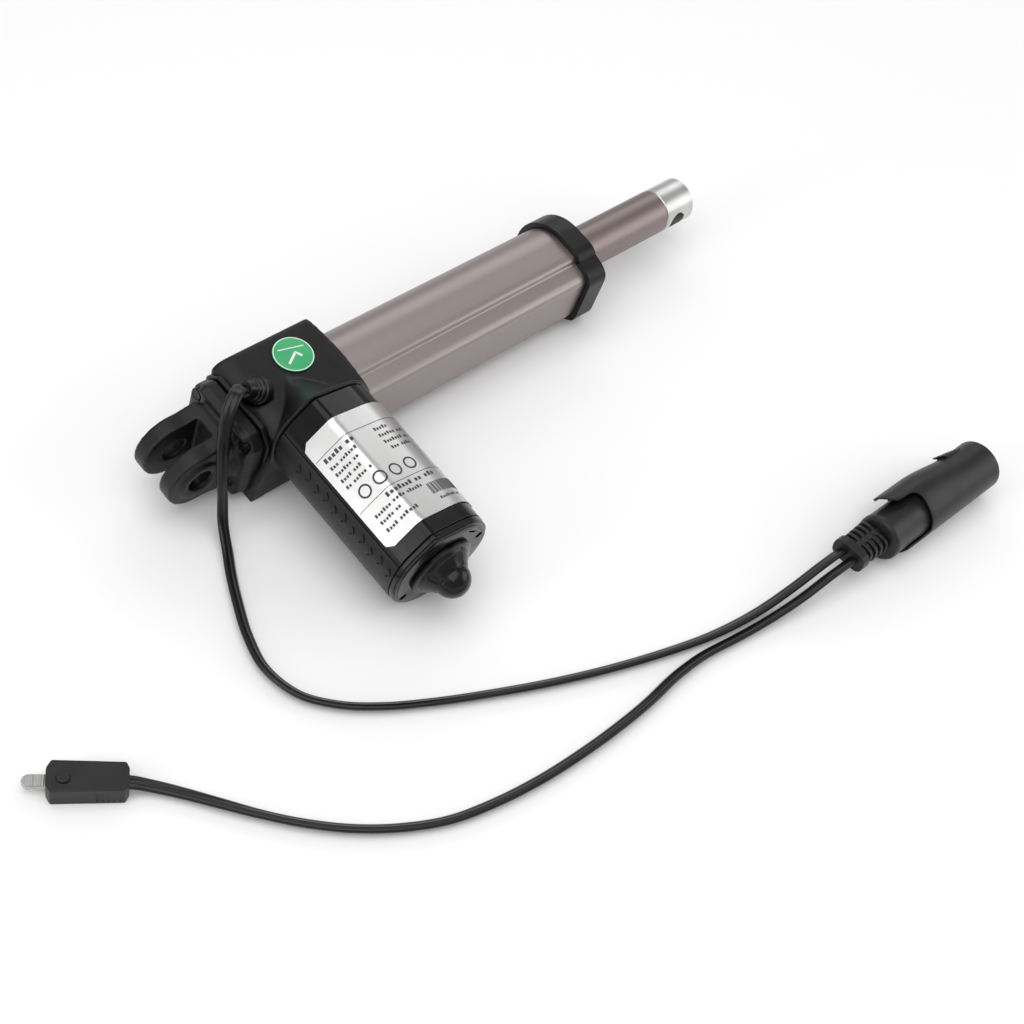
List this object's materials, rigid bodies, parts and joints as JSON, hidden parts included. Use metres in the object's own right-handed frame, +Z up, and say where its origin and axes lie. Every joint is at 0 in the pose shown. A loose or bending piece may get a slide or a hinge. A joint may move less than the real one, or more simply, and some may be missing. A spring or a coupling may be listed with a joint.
{
  "type": "linear actuator",
  "caption": "Linear actuator: a right-angle gearmotor drives a screw that pushes a round rod out of an extruded tube; rear clevis, flat cables, locking power plug and small blade plug.",
  "frame": {"origin": "middle of the underside of the actuator's bounding box, on the table, without the cords and plugs", "axes": "+X along the screw from the rear clevis to the rod end, +Z up, the motor points to -Y"},
  "size_m": [0.4072, 0.2198, 0.0571],
  "materials": {
    "housing_black": "fine spark-eroded texture",
    "gloss_black": "polished",
    "rubber_black": "smooth, slightly glossy",
    "cord_black": "satin PVC",
    "taupe_anodised": "satin taupe anodising",
    "brown_anodised": "satin brown anodising",
    "bare_aluminium": "turned, bare",
    "steel": "machined",
    "bronze": "machined bronze",
    "white_nylon": "moulded nylon",
    "copper": "bare copper",
    "ferrite": "sintered",
    "carbon": "pressed carbon",
    "board_green": "solder mask",
    "silver_label": "silver-white film",
    "green_sticker": "printed paper"
  },
  "bodies": {
    "actuator": {"branch_cable": "cord_black", "brush_card": "white_nylon", "brush_left": "carbon", "brush_right": "carbon", "cable_grommet": "cord_black", "clevis_screw_1": "steel", "clevis_screw_2": "steel", "clevis_screw_3": "steel", "clevis_screw_4": "steel", "cover_screw_1": "steel", "cover_screw_2": "steel", "end_collar": "housing_black", "front_bearing_outer": "steel", "gearbox_housing": "housing_black", "inspection_sticker": "green_sticker", "magnet_left": "ferrite", "magnet_right": "ferrite", "motor_cable": "cord_black", "motor_can": "steel", "motor_cover_lower": "housing_black", "motor_cover_upper": "gloss_black", "motor_end_plate": "gloss_black", "motor_front_bearing": "steel", "motor_label": "silver_label", "outer_tube": "taupe_anodised", "plug_body": "cord_black", "plug_contact_1": "steel", "plug_contact_2": "steel", "plug_strain_relief": "cord_black", "rear_bearing_outer": "steel", "rear_clevis": "housing_black", "rear_cover": "housing_black", "rod_guide": "white_nylon", "rubber_dome": "rubber_black", "small_plug_blade": "steel", "small_plug_body": "cord_black", "switch_board": "board_green", "wiper_seal": "rubber_black", "worm_end_bush": "bronze"},
    "rotor": {"worm_shaft": "steel", "armature_core": "steel", "winding_front": "copper", "winding_rear": "copper", "commutator": "copper"},
    "screw": {"lead_screw": "steel", "worm_wheel": "bronze", "rear_bearing_inner": "steel", "front_bearing_inner": "steel", "screw_end_bush": "white_nylon"},
    "rod": {"piston_tube": "brown_anodised", "rod_end": "bare_aluminium", "travel_nut": "white_nylon"},
    "sleeve": {"lock_sleeve": "cord_black"}
  },
  "joints": [
    {"name": "motor_spin", "type": "hinge", "parent": "actuator", "child": "rotor", "pos_m": [-0.08675, 0.04313, 0.03505], "axis": [0, -0.9927, -0.121], "range_deg": [0, 165600]},
    {"name": "screw_spin", "type": "hinge", "parent": "actuator", "child": "screw", "pos_m": [-0.08675, 0.0447, 0.02215], "axis": [1, 0, 0], "range_deg": [0, 8280]},
    {"name": "rod_slide", "type": "slide", "parent": "actuator", "child": "rod", "axis": [1, 0, 0], "range_m": [0, 0.092]},
    {"name": "lock_sleeve_slide", "type": "slide", "parent": "actuator", "child": "sleeve", "axis": [1, 0, 0], "range_m": [0, 0.012]}
  ],
  "couplings": [
    {"joint": "screw_spin", "follows": "motor_spin", "ratio": 0.05},
    {"joint": "rod_slide", "follows": "motor_spin", "m_per_rad": 0.000031831}
  ]
}
